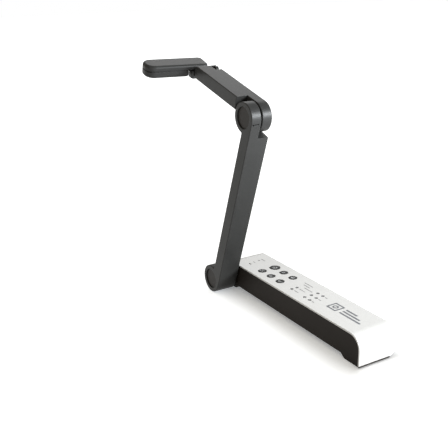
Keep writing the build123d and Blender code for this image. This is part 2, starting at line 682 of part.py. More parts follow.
def make_swivel_bracket(tip):
    """Tongue that carries the head: clamped in the arm's tip and rounded about the pivot."""
    px, py = pivot_point()
    hub = Pos(px, py) * Circle(HUB_RADIUS)
    root = Pos(tip + 2.0, ARM_MID) * Rectangle(10.0, ARM_WIDTH - 3.2)
    shoulder = Pos(tip - 6.0, ARM_Y0 + 2.6) * SlotOverall(13.2, 9.2)
    outline = make_hull((hub + root + shoulder).edges())
    tongue = Pos(0, 0, AXIS_Z + TONGUE_BOTTOM) * extrude(outline, amount=TONGUE_TOP - TONGUE_BOTTOM)
    chin = Pos(0, 0, AXIS_Z + CHIN_BOTTOM) * extrude(outline, amount=TONGUE_BOTTOM - CHIN_BOTTOM + 1)
    tongue += chin - block(tip - 0.3, tip + 20, ARM_Y0, ARM_Y1, AXIS_Z, AXIS_Z + 20)
    tail = block(tip + 6.9, tip + 24.0, ARM_MID - 6, ARM_MID + 6, AXIS_Z + TONGUE_BOTTOM,
                 AXIS_Z + TONGUE_BOTTOM + 2.0)
    shaft = rod_z(px, py, SWIVEL_RADIUS, AXIS_Z + TONGUE_TOP - 4.0, AXIS_Z + HEAD_TOP - 2.4)
    groove = tube_z(px, py, 4.0, SWIVEL_RADIUS - 0.5, AXIS_Z + 12.5, AXIS_Z + 13.0)
    bracket = tongue + tail - block(tip - 0.3, tip + 20, ARM_Y0 - 1, ARM_Y0 + 1.6, AXIS_Z, AXIS_Z + 20)
    bracket -= rod_z(px, py, SWIVEL_RADIUS, AXIS_Z + TONGUE_TOP - 4.0, AXIS_Z + TONGUE_TOP + 1)
    bracket -= rod_z(px, py, SWIVEL_BORE, AXIS_Z, AXIS_Z + TONGUE_TOP)
    nodes["swivel_bracket"] = bracket
    nodes["swivel_shaft"] = shaft - groove - rod_z(px, py, SWIVEL_BORE, AXIS_Z, AXIS_Z + 30)
    nodes["swivel_washer"] = tube_z(px, py, SWIVEL_WASHER, SWIVEL_RADIUS + 0.05, AXIS_Z + 11.7, AXIS_Z + 12.3)
    clip = tube_z(px, py, SWIVEL_WASHER - 0.1, SWIVEL_RADIUS - 0.45, AXIS_Z + 12.55, AXIS_Z + 12.95)
    nodes["swivel_clip"] = clip - block(px, px + 8, py - 1.6, py + 1.6, AXIS_Z + 12, AXIS_Z + 14)


# ------------------------------------------------------------------ head


def head_outline(inset):
    """Plan view of the head: square at the pivot end, large corners at the free end."""
    near = ELBOW_X - HEAD_NEAR - inset
    far = ELBOW_X - HEAD_FAR + inset
    width = HEAD_WIDTH - 2 * inset
    middle = ARM_MID
    face = Pos((near + far) / 2, middle) * Rectangle(near - far, width)
    free_end = face.vertices().sort_by(Axis.X)[:2]
    face = fillet(free_end, HEAD_CORNER - inset)
    pivot_end = face.vertices().sort_by(Axis.X)[-2:]
    return fillet(pivot_end, HEAD_NEAR_CORNER - inset)


def head_layer(inset, z0, z1):
    return Pos(0, 0, AXIS_Z + z0) * extrude(head_outline(inset), amount=z1 - z0)


def rim_groove(z):
    """What is taken off a head shell's rim to leave a shadow line at the seam."""
    outer = head_layer(-1.0, z, z + GROOVE_HEIGHT)
    return outer - head_layer(GROOVE_DEPTH, z - 1, z + GROOVE_HEIGHT + 1)


def finger_slot():
    """Pry slot in the seam at one corner of the head's free end."""
    corner = Pos(ELBOW_X - HEAD_FAR + HEAD_CORNER, ARM_MID - HEAD_WIDTH / 2 + HEAD_CORNER)
    slot = corner * Rot(0, 0, 225) * Pos(HEAD_CORNER, 0, AXIS_Z + HEAD_SEAM - 0.4)
    return slot * Box(2.4, 6.0, 1.6)


def camera_x():
    return ELBOW_X - HEAD_FAR + 24.0


def light_x():
    return ELBOW_X - HEAD_FAR + 43.0


def make_head():
    px, py = pivot_point()
    near = ELBOW_X - HEAD_NEAR
    step = near - HEAD_STEP
    y0 = ARM_MID - HEAD_WIDTH / 2
    y1 = ARM_MID + HEAD_WIDTH / 2
    w = HEAD_WALL
    a = AXIS_Z
    top = head_layer(0, HEAD_SEAM, HEAD_TOP)
    crown = [e for e in top.edges() if e.center().Z > a + HEAD_TOP - 0.01]
    top = fillet(crown, HEAD_EDGE)
    top -= rim_groove(HEAD_SEAM) + finger_slot()
    top -= head_layer(w, HEAD_SEAM - 1, HEAD_TOP - w)
    plate = head_layer(w - 0.4, HEAD_SEAM, HEAD_SEAM + 2.0) & block(step - 0.8, near, y0, y1, a, a + 20)
    top += plate
    top -= rod_z(px, py, SWIVEL_RADIUS + RUNNING_CLEARANCE, a + HEAD_SEAM - 1, a + HEAD_SEAM + 3)
    top -= rod_z(px, py, SWIVEL_WASHER + 0.2, a + HEAD_SEAM + 2, a + HEAD_TOP - 2.2)
    nodes["head_top_shell"] = top
    bottom = head_layer(0, HEAD_BOTTOM, HEAD_SEAM - 0.25)
    bottom -= block(step, near + 10, y0 - 1, y1 + 1, a - 5, a + 20)
    bottom = fillet(bottom.edges().filter_by(Axis.Z).sort_by(Axis.X)[-2:], 2.0)
    rim = [e for e in bottom.edges() if e.center().Z < a + HEAD_BOTTOM + 0.01]
    bottom = fillet(rim, HEAD_EDGE)
    bottom -= rim_groove(HEAD_SEAM - 0.25 - GROOVE_HEIGHT) + finger_slot()
    hollow = head_layer(w, HEAD_BOTTOM + w, HEAD_SEAM + 1) - block(step - w, near + 10, y0, y1, a, a + 20)
    bottom -= hollow
    bottom -= rod_z(camera_x(), ARM_MID, 8.2, a + HEAD_BOTTOM - 1, a + HEAD_BOTTOM + w + 1)
    light_hole = extrude(SlotOverall(13.2, 6.2, rotation=90), amount=w + 2)
    bottom -= Pos(light_x(), ARM_MID, a + HEAD_BOTTOM - 1) * light_hole
    bottom -= rod_z(ELBOW_X - HEAD_FAR + 8.0, ARM_MID, 0.6, a + HEAD_BOTTOM - 1, a + HEAD_BOTTOM + 3)
    nodes["head_bottom_shell"] = bottom
    make_camera(a + HEAD_BOTTOM)
    make_light(a + HEAD_BOTTOM)


def make_camera(face):
    """Lens, ring, glass, sensor board and microphone; the camera looks down through the floor."""
    x = camera_x()
    y = ARM_MID
    ring = tube_z(x, y, 8.1, 6.0, face, face + 2.2)
    ring = fillet(ring.edges().sort_by(Axis.Z)[0], 0.3)
    nodes["lens_ring"] = ring
    glass = rod_z(x, y, 5.9, face + 1.0, face + 2.0)
    nodes["lens_glass"] = glass
    barrel = tube_z(x, y, 5.6, 3.0, face + 2.4, face + 8.2)
    barrel += tube_z(x, y, 7.2, 3.0, face + 6.4, face + 8.2)
    nodes["lens_barrel"] = barrel
    nodes["lens_element"] = lens_element(x, y, face + 3.0)
    board = block(x - 9.5, x + 25.5, y - 9.5, y + 9.5, face + 8.3, face + 9.3)
    nodes["camera_board"] = board
    nodes["image_sensor"] = block(x - 2.0, x + 2.0, y - 2.0, y + 2.0, face + 7.3, face + 8.3)
    mic_x = ELBOW_X - HEAD_FAR + 8.0
    nodes["head_microphone"] = rod_z(mic_x, y, 2.0, face + HEAD_WALL, face + HEAD_WALL + 1.4)


def lens_element(x, y, z):
    """Biconvex lens."""
    radius = 7.0
    ball = Sphere(radius)
    thickness = 2.6
    low = Pos(x, y, z + radius) * ball
    high = Pos(x, y, z + thickness - radius) * ball
    return (low & high) & rod_z(x, y, 2.95, z - 1, z + thickness + 1)


def make_light(face):
    """Reading light: diffuser window and its board."""
    x = light_x()
    window = extrude(SlotOverall(13.0, 6.0, rotation=90), amount=1.6)
    nodes["light_window"] = Pos(x, ARM_MID, face + 0.1) * window
    emitters = [block(x - 1.4, x + 1.4, ARM_MID + d - 1.4, ARM_MID + d + 1.4, face + 3.0, face + 3.7)
                for d in (-3.4, 3.4)]
    board = block(x - 3.2, x + 3.2, ARM_MID - 7.0, ARM_MID + 7.0, face + 3.7, face + 4.7)
    for emitter in emitters:
        board += emitter
    nodes["light_board"] = board


# ------------------------------------------------------------------ assembly


def build_base():
    nodes["top_cover"] = make_top_cover()
    nodes["base_tub"] = make_base_tub()
    nodes["foot_pad_hinge_end"] = make_pad(0)
    nodes["foot_pad_far_end"] = make_pad(X1 - FOOT_INSET)
    nodes["ballast_plate"] = make_ballast()
    nodes["main_board"] = make_main_board()
    nodes["board_screws"] = make_board_screws()
    nodes["base_screws"] = make_base_screws()
    nodes["key_board"] = make_key_board()
    nodes["key_switches"] = make_key_switches()
    nodes["indicator_lenses"] = make_indicator_lenses()
    nodes["base_microphone"] = make_base_microphone()
    nodes["hinge_bracket"] = make_hinge_bracket()
    for name, x, y, radius in key_places():
        nodes[name] = make_key(x, y, radius)
    make_hdmi()
    make_usb_a()
    make_micro_usb()
    make_dc_jack()


LOWER_NODES = ("lower_arm_shell", "lower_arm_cover", "lower_arm_screws", "lower_arm_cable",
               "barrel_cap", "elbow_cap_outer")
HEAD_NODES = ("head_top_shell", "head_bottom_shell", "lens_ring", "lens_glass", "lens_barrel",
              "lens_element", "camera_board", "image_sensor", "head_microphone", "light_window",
              "light_board")
UPPER_NODES = ("upper_arm_shell", "upper_arm_cover", "upper_arm_screws", "upper_arm_cable",
               "elbow_cap_inner", "elbow_shaft", "elbow_washers", "elbow_nut", "swivel_bracket",
               "swivel_shaft", "swivel_washer", "swivel_clip")


def turn(centre, axis, angle):
    """Rotation by an angle about an axis through a point."""
    x, y, z = centre
    turned = Rot(*[angle * component for component in axis])
    return Pos(x, y, z) * turned * Pos(-x, -y, -z)


def pose_arm():
    """Lifts the folded arm to its working pose."""
    hinge = (AXIS_X, 0, AXIS_Z)
    elbow = (ELBOW_X, 0, AXIS_Z)
    px, py = pivot_point()
    raise_lower = turn(hinge, (0, 1, 0), -LOWER_RAISED)
    reach = math.radians(LOWER_RAISED)
    shift = Pos(LOWER_LENGTH * (math.cos(reach) - 1), 0, LOWER_LENGTH * math.sin(reach))
    level_upper = shift * turn(elbow, (0, 1, 0), UPPER_LEVEL)
    turn_head = level_upper * turn((px, py, 0), (0, 0, 1), HEAD_TURNED)
    for name in LOWER_NODES:
        nodes[name] = raise_lower * nodes[name]
    for name in UPPER_NODES:
        nodes[name] = level_upper * nodes[name]
    for name in HEAD_NODES:
        nodes[name] = turn_head * nodes[name]


def main():
    os.makedirs("parts", exist_ok=True)
    build_base()
    make_lower_arm()
    make_upper_arm()
    make_head()
    pose_arm()
    for name, shape in nodes.items():
        export_step(shape, f"parts/{name}.step")


main()
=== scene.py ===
import json
import math

import bmesh
import bpy
from mathutils import Matrix, Vector

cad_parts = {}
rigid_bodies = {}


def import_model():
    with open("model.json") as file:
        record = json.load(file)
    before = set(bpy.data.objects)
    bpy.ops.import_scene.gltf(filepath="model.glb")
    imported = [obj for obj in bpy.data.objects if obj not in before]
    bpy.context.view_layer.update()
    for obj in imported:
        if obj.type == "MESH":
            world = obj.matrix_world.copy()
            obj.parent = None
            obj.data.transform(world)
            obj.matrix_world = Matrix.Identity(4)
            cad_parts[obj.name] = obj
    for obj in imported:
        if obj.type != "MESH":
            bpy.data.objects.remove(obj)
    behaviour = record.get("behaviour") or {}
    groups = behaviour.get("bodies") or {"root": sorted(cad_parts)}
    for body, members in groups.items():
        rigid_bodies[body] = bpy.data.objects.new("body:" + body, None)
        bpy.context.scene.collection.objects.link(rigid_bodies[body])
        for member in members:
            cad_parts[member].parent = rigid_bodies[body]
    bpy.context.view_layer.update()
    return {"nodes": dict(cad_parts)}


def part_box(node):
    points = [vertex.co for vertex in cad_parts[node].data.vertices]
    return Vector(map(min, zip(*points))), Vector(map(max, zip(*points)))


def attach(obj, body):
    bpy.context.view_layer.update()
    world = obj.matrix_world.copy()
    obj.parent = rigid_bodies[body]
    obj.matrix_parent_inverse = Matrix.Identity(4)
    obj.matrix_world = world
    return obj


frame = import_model()
MM = 0.001
nodes = frame["nodes"]


# ---------------------------------------------------------------- materials


class Graph:
    """A new node material and short ways to add nodes to it."""

    def __init__(self, name):
        self.material = bpy.data.materials.new(name)
        self.material.use_nodes = True
        self.tree = self.material.node_tree
        self.shader = self.tree.nodes["Principled BSDF"]
        self.place = self.add("ShaderNodeTexCoord").outputs["Object"]

    def add(self, kind, **settings):
        node = self.tree.nodes.new(kind)
        for key, value in settings.items():
            if key in node.inputs:
                self.feed(node.inputs[key], value)
            else:
                setattr(node, key, value)
        return node

    def feed(self, socket, value):
        if isinstance(value, bpy.types.NodeSocket):
            self.tree.links.new(value, socket)
        else:
            socket.default_value = value

    def set(self, **values):
        for key, value in values.items():
            self.feed(self.shader.inputs[key.replace("_", " ")], value)

    def noise(self, scale, detail=2.0, rough=0.5):
        node = self.add("ShaderNodeTexNoise", Vector=self.place, Scale=scale, Detail=detail)
        node.inputs["Roughness"].default_value = rough
        return node.outputs["Fac"]

    def spread(self, value, low, high, start=0.3, end=0.7):
        node = self.add("ShaderNodeMapRange", Value=value)
        for key, number in (("From Min", start), ("From Max", end), ("To Min", low), ("To Max", high)):
            node.inputs[key].default_value = number
        return node.outputs["Result"]

    def mix(self, amount, a, b, how="MIX"):
        node = self.add("ShaderNodeMix", data_type="RGBA", blend_type=how)
        self.feed(node.inputs[0], amount)
        self.feed(node.inputs[6], a)
        self.feed(node.inputs[7], b)
        return node.outputs[2]

    def math(self, how, a, b=0.0):
        node = self.add("ShaderNodeMath", operation=how)
        self.feed(node.inputs[0], a)
        self.feed(node.inputs[1], b)
        return node.outputs[0]

    def vector(self, how, a, b=None):
        """Vector maths: a vector, or a number where how is LENGTH or DOT_PRODUCT."""
        node = self.add("ShaderNodeVectorMath", operation=how)
        self.feed(node.inputs[0], a)
        if b is not None:
            self.feed(node.inputs[1], b)
        return node.outputs["Value" if how in ("LENGTH", "DOT_PRODUCT") else "Vector"]

    def bump(self, height, depth, strength=1.0, normal=None):
        node = self.add("ShaderNodeBump", Height=height, Distance=depth, Strength=strength)
        if normal is not None:
            self.feed(node.inputs["Normal"], normal)
        return node.outputs["Normal"]

    def edges(self, radius):
        """(rounded normal, mask that is 1 on edges)"""
        soft = self.add("ShaderNodeBevel", Radius=radius, samples=6).outputs["Normal"]
        flat = self.add("ShaderNodeNewGeometry").outputs["Normal"]
        away = self.math("SUBTRACT", 1.0, self.vector("DOT_PRODUCT", soft, flat))
        return soft, self.spread(away, 0.0, 1.0, 0.02, 0.3)


    def grey(self, level):
        """A grey of a linked level, to multiply a colour by."""
        node = self.add("ShaderNodeCombineColor")
        for key in ("Red", "Green", "Blue"):
            self.feed(node.inputs[key], level)
        return node.outputs[0]


def rgb(r, g, b):
    return (r, g, b, 1.0)


def paler(colour, gain):
    """A paler colour of the same ink or plastic: for thin ink, and for plastic edges that are partly worn and
    partly a painted highlight.
    """
    lift = 0.02
    return rgb(*(min(1.0, c * gain + lift) for c in colour))


def moulded(name, dark, light, rough, grain=1500.0, depth=0.00003, edge=0.0006, wear_and_highlight=0.35, shine=0.5):
    """Injection-moulded plastic: spark texture, slow colour drift, and paler edges that are partly wear and
    partly a painted highlight.

    grain is the texture's scale and depth its height in metres; edge is the rounding of the edges
    in metres; wear_and_highlight is how pale the edges are, partly worn and partly a painted highlight, from
    0 to 1; shine is the specular level.
    """
    g = Graph(name)
    drift = g.spread(g.noise(22.0, 3.0), 0.0, 1.0)
    speck = g.noise(grain, 2.0, 0.6)
    soft, mask = g.edges(edge)
    colour = g.mix(drift, rgb(*dark), rgb(*light))
    colour = g.mix(1.0, colour, g.grey(g.spread(speck, 0.86, 1.14)), "MULTIPLY")
    # Paler edges: partly wear, partly a painted highlight along the edges.
    worn_and_highlit_edges = g.math("MULTIPLY", mask, g.spread(g.noise(120.0, 4.0), 0.0, wear_and_highlight, 0.4, 0.65))
    g.set(Base_Color=g.mix(worn_and_highlit_edges, colour, paler(light, 2.2)))
    g.set(Roughness=g.spread(speck, *rough), Normal=g.bump(speck, depth, 0.8, soft))
    g.set(Specular_IOR_Level=shine)
    return g


def white_plastic():
    """Satin white cover with a very fine spark texture."""
    g = moulded("cover_white", (0.385, 0.379, 0.368), (0.405, 0.399, 0.388), (0.3, 0.38),
                grain=2600.0, depth=0.000008, wear_and_highlight=0.0)
    g.set(Coat_Weight=0.08, Coat_Roughness=0.25)
    return g.material


def metal(name, colour, rough, streak=(40.0, 40.0, 900.0), depth=0.000004):
    """Bare or plated metal with fine streaks; streak is how close they lie along each axis."""
    g = Graph(name)
    shape = g.add("ShaderNodeMapping", Vector=g.place)
    shape.inputs["Scale"].default_value = streak
    lines = g.add("ShaderNodeTexNoise", Vector=shape.outputs[0], Scale=6.0, Detail=3.0).outputs["Fac"]
    stain = g.grey(g.spread(g.noise(300.0, 3.0), 0.82, 1.0))
    soft, _ = g.edges(0.0003)
    g.set(Base_Color=g.mix(1.0, rgb(*colour), stain, "MULTIPLY"), Metallic=1.0)
    g.set(Roughness=g.spread(lines, rough - 0.07, rough + 0.1), Normal=g.bump(lines, depth, 0.6, soft))
    return g.material


def board_green():
    """Circuit board: solder mask with faint copper tracks and tinned pads."""
    g = Graph("board_green")
    cell = g.add("ShaderNodeTexBrick", Vector=g.place, Scale=420.0)
    cell.inputs["Color1"].default_value = rgb(0.012, 0.11, 0.045)
    cell.inputs["Color2"].default_value = rgb(0.016, 0.14, 0.055)
    cell.inputs["Mortar"].default_value = rgb(0.03, 0.2, 0.07)
    cell.inputs["Mortar Size"].default_value = 0.06
    dots = g.add("ShaderNodeTexVoronoi", Vector=g.place, Scale=330.0).outputs["Distance"]
    pad = g.spread(dots, 1.0, 0.0, 0.1, 0.14)
    tinned = rgb(0.6, 0.58, 0.5)
    g.set(Base_Color=g.mix(pad, cell.outputs["Color"], tinned), Metallic=g.math("MULTIPLY", pad, 0.9))
    g.set(Roughness=g.spread(g.noise(90.0), 0.25, 0.4), Normal=g.bump(cell.outputs["Fac"], 0.00002))
    return g.material


def glass():
    """Coated lens glass: dark violet, with a faint smear."""
    g = Graph("lens_glass")
    smear = g.noise(160.0, 3.0)
    g.set(Base_Color=rgb(0.10, 0.09, 0.14), Roughness=g.spread(smear, 0.02, 0.07), Coat_Weight=1.0)
    g.set(Coat_Roughness=0.02, Coat_Tint=rgb(0.8, 0.75, 1.0), Transmission_Weight=0.35, IOR=1.5)
    return g.material


def diffuser():
    """Frosted window over the reading light."""
    g = Graph("light_diffuser")
    frost = g.noise(900.0, 3.0)
    g.set(Base_Color=g.mix(g.spread(frost, 0.0, 1.0), rgb(0.72, 0.72, 0.70), rgb(0.82, 0.82, 0.79)))
    g.set(Roughness=g.spread(frost, 0.35, 0.55), Normal=g.bump(frost, 0.00002))
    g.set(Subsurface_Weight=0.3, Subsurface_Scale=0.001)
    return g.material


def ink(name, colour):
    """Screen print: slightly uneven cover and a faint mottle."""
    g = Graph(name)
    mottle = g.noise(1800.0, 3.0)
    g.set(Base_Color=g.mix(g.spread(mottle, 0.0, 1.0), rgb(*colour), paler(colour, 1.25)))
    g.set(Roughness=g.spread(mottle, 0.45, 0.6))
    return g.material


def lamp_pipe():
    """Smoked light pipe, slightly cloudy."""
    g = Graph("light_pipe")
    cloud = g.noise(700.0, 3.0)
    smoke = rgb(0.020, 0.020, 0.020)
    haze = rgb(0.035, 0.035, 0.034)
    g.set(Base_Color=g.mix(g.spread(cloud, 0.0, 1.0), smoke, haze))
    g.set(Roughness=g.spread(cloud, 0.18, 0.3), Coat_Weight=0.15, Coat_Roughness=0.1)
    return g.material


ARM = moulded("arm_charcoal", (0.016, 0.016, 0.0155), (0.020, 0.020, 0.0195), (0.34, 0.44),
              shine=0.155).material
TUB = moulded("tub_charcoal", (0.0125, 0.0098, 0.0080), (0.0155, 0.0125, 0.0105), (0.5, 0.6),
              shine=0.10).material
CAP = moulded("cap_charcoal", (0.012, 0.010, 0.008), (0.015, 0.0125, 0.0105), (0.4, 0.5),
              grain=2000.0, shine=0.14).material
KEY = moulded("key_charcoal", (0.010, 0.010, 0.010), (0.013, 0.013, 0.013), (0.35, 0.45),
              grain=3000.0, depth=0.00001, edge=0.0003, wear_and_highlight=0.2, shine=0.12).material
WHITE = white_plastic()
RUBBER = moulded("rubber_black", (0.016, 0.016, 0.016), (0.024, 0.024, 0.024), (0.7, 0.85),
                 grain=900.0, depth=0.00005, edge=0.0004, wear_and_highlight=0.2).material
INSERT = moulded("insert_black", (0.010, 0.010, 0.010), (0.014, 0.014, 0.014), (0.4, 0.5),
                 grain=2600.0, depth=0.00001, edge=0.0002, wear_and_highlight=0.1).material
STEEL = metal("zinc_steel", (0.62, 0.62, 0.60), 0.32)
PLATED = metal("plated_shell", (0.82, 0.82, 0.80), 0.16)
SPRING = metal("spring_steel", (0.42, 0.42, 0.43), 0.3)
ALLOY = metal("black_alloy", (0.05, 0.05, 0.05), 0.42, (300.0, 300.0, 300.0), 0.00002)
CONTACT = metal("gold_contact", (0.83, 0.62, 0.28), 0.2)
BOARD = board_green()
GLASS = glass()
FROST = diffuser()
PIPE = lamp_pipe()
ICON = ink("icon_ink", (0.30, 0.30, 0.30))
LEGEND = ink("legend_ink", (0.06, 0.06, 0.06))
MARK = ink("mark_ink", (0.075, 0.078, 0.085))
PORT_INK = ink("port_ink", (0.45, 0.45, 0.44))

LOOKS = {
    WHITE: ["top_cover"],
    TUB: ["base_tub"],
    RUBBER: ["foot_pad_hinge_end", "foot_pad_far_end"],
    ARM: ["lower_arm_shell", "lower_arm_cover", "upper_arm_shell", "upper_arm_cover", "head_top_shell",
          "head_bottom_shell"],
    CAP: ["barrel_cap", "elbow_cap_outer", "elbow_cap_inner", "lens_ring"],
    KEY: ["key_focus", "key_zoom_in", "key_zoom_out", "key_power", "key_light", "key_capture"],
    INSERT: ["key_switches", "hdmi_tongue", "usb_a_tongue", "micro_usb_tongue", "dc_jack_body", "lens_barrel",
             "image_sensor", "lower_arm_cable", "upper_arm_cable"],
    STEEL: ["ballast_plate", "board_screws", "base_screws", "base_microphone", "hinge_bracket",
            "base_hinge_shaft", "base_hinge_nut", "lower_arm_screws", "upper_arm_screws", "elbow_shaft",
            "elbow_nut", "swivel_shaft", "head_microphone"],
    PLATED: ["hdmi_shell", "usb_a_shell", "micro_usb_shell"],
    SPRING: ["base_hinge_washers", "elbow_washers", "swivel_washer", "swivel_clip"],
    ALLOY: ["swivel_bracket"],
    CONTACT: ["dc_jack_pin"],
    BOARD: ["main_board", "key_board", "camera_board", "light_board"],
    GLASS: ["lens_glass", "lens_element"],
    FROST: ["light_window"],
    PIPE: ["indicator_lenses"],
}
for material, names in LOOKS.items():
    for name in names:
        cad = nodes[name]
        cad.data.materials.clear()
        cad.data.materials.append(material)


# ---------------------------------------------------------------- printed marks
# Every mark is a list of strokes in mm: (points, width, closed).

INK_ABOVE = 0.04
INK_BELOW = -0.06
STROKE_STEP = 0.5
RING_TURN = (0, 345)


def resample(points, step):
    """The same polyline with points no further apart than step."""
    out = [points[0]]
    for a, b in zip(points, points[1:]):
        count = max(1, math.ceil(math.dist(a, b) / step))
        out += [(a[0] + (b[0] - a[0]) * i / count, a[1] + (b[1] - a[1]) * i / count)
                for i in range(1, count + 1)]
    return out


def ribbon(points, width, closed):
    """Left and right edge of a stroke of that width along the points."""
    sides = []
    count = len(points)
    for i, (x, y) in enumerate(points):
        before = points[i - 1] if (i or closed) else points[i]
        after = points[(i + 1) % count] if (i < count - 1 or closed) else points[i]
        dx = after[0] - before[0]
        dy = after[1] - before[1]
        size = math.hypot(dx, dy)
        nx = -dy / size * width / 2
        ny = dx / size * width / 2
        sides.append(((x + nx, y + ny), (x - nx, y - ny)))
    return sides


def arc(cx, cy, r, start, end):
    """Points on an arc from one angle to another, in degrees."""
    count = 24
    turns = [math.radians(start + (end - start) * i / count) for i in range(count + 1)]
    return [(cx + r * math.cos(t), cy + r * math.sin(t)) for t in turns]


def ring(cx, cy, r, width):
    """A round closed stroke."""
    return (arc(cx, cy, r, *RING_TURN), width, True)


def print_strokes(name, strokes, place, body, material):
    """Thin ink strokes laid on a surface. place(x, y, lift) gives the point in mm in the row frame."""
    bm = bmesh.new()
    for points, width, closed in strokes:
        line = resample(points + [points[0]] if closed else points, STROKE_STEP)
        if closed:
            line = line[:-1]
        rows = []
        for left, right in ribbon(line, width, closed):
            rows.append([bm.verts.new(Vector(place(*p, lift)) * MM)
                         for p, lift in ((left, INK_ABOVE), (right, INK_ABOVE),
                                         (right, INK_BELOW), (left, INK_BELOW))])
        pairs = list(zip(rows, rows[1:]))
        if closed:
            pairs.append((rows[-1], rows[0]))
        for a, b in pairs:
            for i in range(4):
                j = (i + 1) % 4
                bm.faces.new((a[i], a[j], b[j], b[i]))
        if not closed:
            bm.faces.new(rows[0][::-1])
            bm.faces.new(rows[-1])
    bmesh.ops.recalc_face_normals(bm, faces=bm.faces)
    mesh = bpy.data.meshes.new(name)
    bm.to_mesh(mesh)
    bm.free()
    piece = bpy.data.objects.new(name, mesh)
    bpy.context.scene.collection.objects.link(piece)
    mesh.materials.append(material)
    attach(piece, body)


def glyph(kind):
    """Strokes of a plain pictogram about its centre."""
    w = 0.42
    thin = 0.35
    if kind == "focus":
        arms = []
        for sx in (-1, 1):
            for sy in (-1, 1):
                arms.append(([(sx * 2.1, sy * 0.9), (sx * 2.1, sy * 2.1), (sx * 0.9, sy * 2.1)], w, False))
        return arms + [ring(0, 0, 0.6, 0.5)]
    if kind in ("zoom_in", "zoom_out"):
        strokes = [ring(-0.4, 0.4, 1.6, w), ([(0.8, -0.8), (2.1, -2.1)], 0.6, False),
                   ([(-1.2, 0.4), (0.4, 0.4)], w, False)]
        if kind == "zoom_in":
            strokes.append(([(-0.4, -0.4), (-0.4, 1.2)], w, False))
        return strokes
    if kind == "power":
        return [(arc(0, 0, 2.1, 125, 415), 0.55, False), ([(0, 0.6), (0, 2.7)], 0.55, False)]
    if kind == "light":
        rays = []
        for i in range(8):
            t = math.radians(45 * i)
            ray = [(r * math.cos(t), r * math.sin(t)) for r in (1.5, 2.3)]
            rays.append((ray, w, False))
        return rays + [ring(0, 0, 0.85, w)]
    if kind == "capture":
        case = [(-2.2, -1.4), (2.2, -1.4), (2.2, 1.2), (1.0, 1.2),
                (0.6, 1.8), (-0.6, 1.8), (-1.0, 1.2), (-2.2, 1.2)]
        return [(case, w, True), ring(0, -0.1, 0.85, w)]
    if kind == "screen":
        return [([(-2.4, -1.1), (2.4, -1.1), (2.4, 1.9), (-2.4, 1.9)], thin, True),
                ([(-1.2, -2.0), (1.2, -2.0)], thin, False)]
    if kind == "laptop":
        return [([(-1.7, -0.9), (1.7, -0.9), (1.7, 1.5), (-1.7, 1.5)], thin, True),
                ([(-2.5, -1.6), (2.5, -1.6)], 0.4, False)]
    if kind == "plug":
        return [([(-1.2, -1.9), (1.2, -1.9), (1.2, 0.5), (-1.2, 0.5)], thin, True),
                ([(-0.6, 0.5), (-0.6, 1.7), (0.6, 1.7), (0.6, 0.5)], thin, False)]
    if kind == "direct_current":
        dashes = [([(x, -0.6), (x + 1.1, -0.6)], thin, False) for x in (-2.6, -0.55, 1.5)]
        return dashes + [([(-2.6, 0.6), (2.6, 0.6)], thin, False)]
    raise ValueError(kind)


def shifted(strokes, dx, dy, scale):
    return [([(x * scale + dx, y * scale + dy) for x, y in points], width * scale, closed)
            for points, width, closed in strokes]


def key_marks():
    """Each key's pictogram, laid in the key's dish, which is part of a ball."""
    rim = 1.2
    depth = 0.45
    dished = 0.72
    for name in LOOKS[KEY]:
        low, high = (Vector(corner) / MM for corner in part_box(name))
        cx = (low.x + high.x) / 2
        cy = (low.y + high.y) / 2
        top = high.z
        radius = (high.x - low.x) / 2 - rim
        ball = (radius * dished) ** 2 / (2 * depth) + depth / 2

        def on_dish(x, y, lift):
            sink = ball - depth - math.sqrt(max(ball * ball - x * x - y * y, 0.0))
            return (cx - y, cy + x, top + min(sink, 0.0) + lift)

        scale = 1.15 if name == "key_power" else 0.98
        strokes = shifted(glyph(name.removeprefix("key_")), 0, 0, scale)
        print_strokes("icon_" + name, strokes, on_dish, name, ICON)


def cover_marks():
    """Fine bars that stand for legends on the cover, and a plain page-and-lens mark."""
    low, high = (Vector(corner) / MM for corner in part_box("top_cover"))

    def on_top(x, y, lift):
        return (low.x + x, low.y + y, high.z + lift)

    bar_width = 0.9
    bars = [(127.5, 13.0, 7.5), (127.5, 20.0, 10.0), (117.1, 35.2, 15.5), (121.0, 31.0, 11.0),
            (128.1, 26.5, 14.5), (160.3, 12.1, 4.2), (160.3, 21.1, 4.2), (160.3, 30.1, 4.2),
            (31.5, 21.0, 5.0), (30.6, 34.0, 8.0)]
    strokes = [([(x, y), (x + length, y)], bar_width, False) for x, y, length in bars]
    strokes.append(ring(33.1, 28.7, 1.0, 0.8))
    print_strokes("cover_legends", strokes, on_top, "base", LEGEND)
    page = [([(178.5, 18.4), (191.5, 18.4), (191.5, 30.9), (178.5, 30.9)], 2.1, True),
            ring(185.0, 24.65, 2.7, 1.9)]
    start = 197.0
    lines = [([(start, y), (start + length, y)], 2.5, False)
             for y, length in ((19.9, 32.0), (24.65, 26.0), (29.4, 17.0))]
    print_strokes("cover_mark", page + lines, on_top, "base", MARK)


def port_marks():
    """Plain pictograms beside the sockets."""
    low, high = (Vector(corner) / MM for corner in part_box("top_cover"))
    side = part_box("base_tub")[1][1] / MM

    def on_side(x, y, lift):
        return (low.x + x, side + lift, high.z + y)

    row = -8.3
    places = (("screen", 94.0, row, 0.72), ("laptop", 112.2, row, 0.72), ("plug", 131.4, row, 0.72),
              ("direct_current", 38.4, -12.6, 1.0))
    strokes = []
    for kind, x, z, scale in places:
        strokes += shifted(glyph(kind), x, z, scale)
    print_strokes("port_legends", strokes, on_side, "base", PORT_INK)


key_marks()
cover_marks()
port_marks()


# ---------------------------------------------------------------- studio


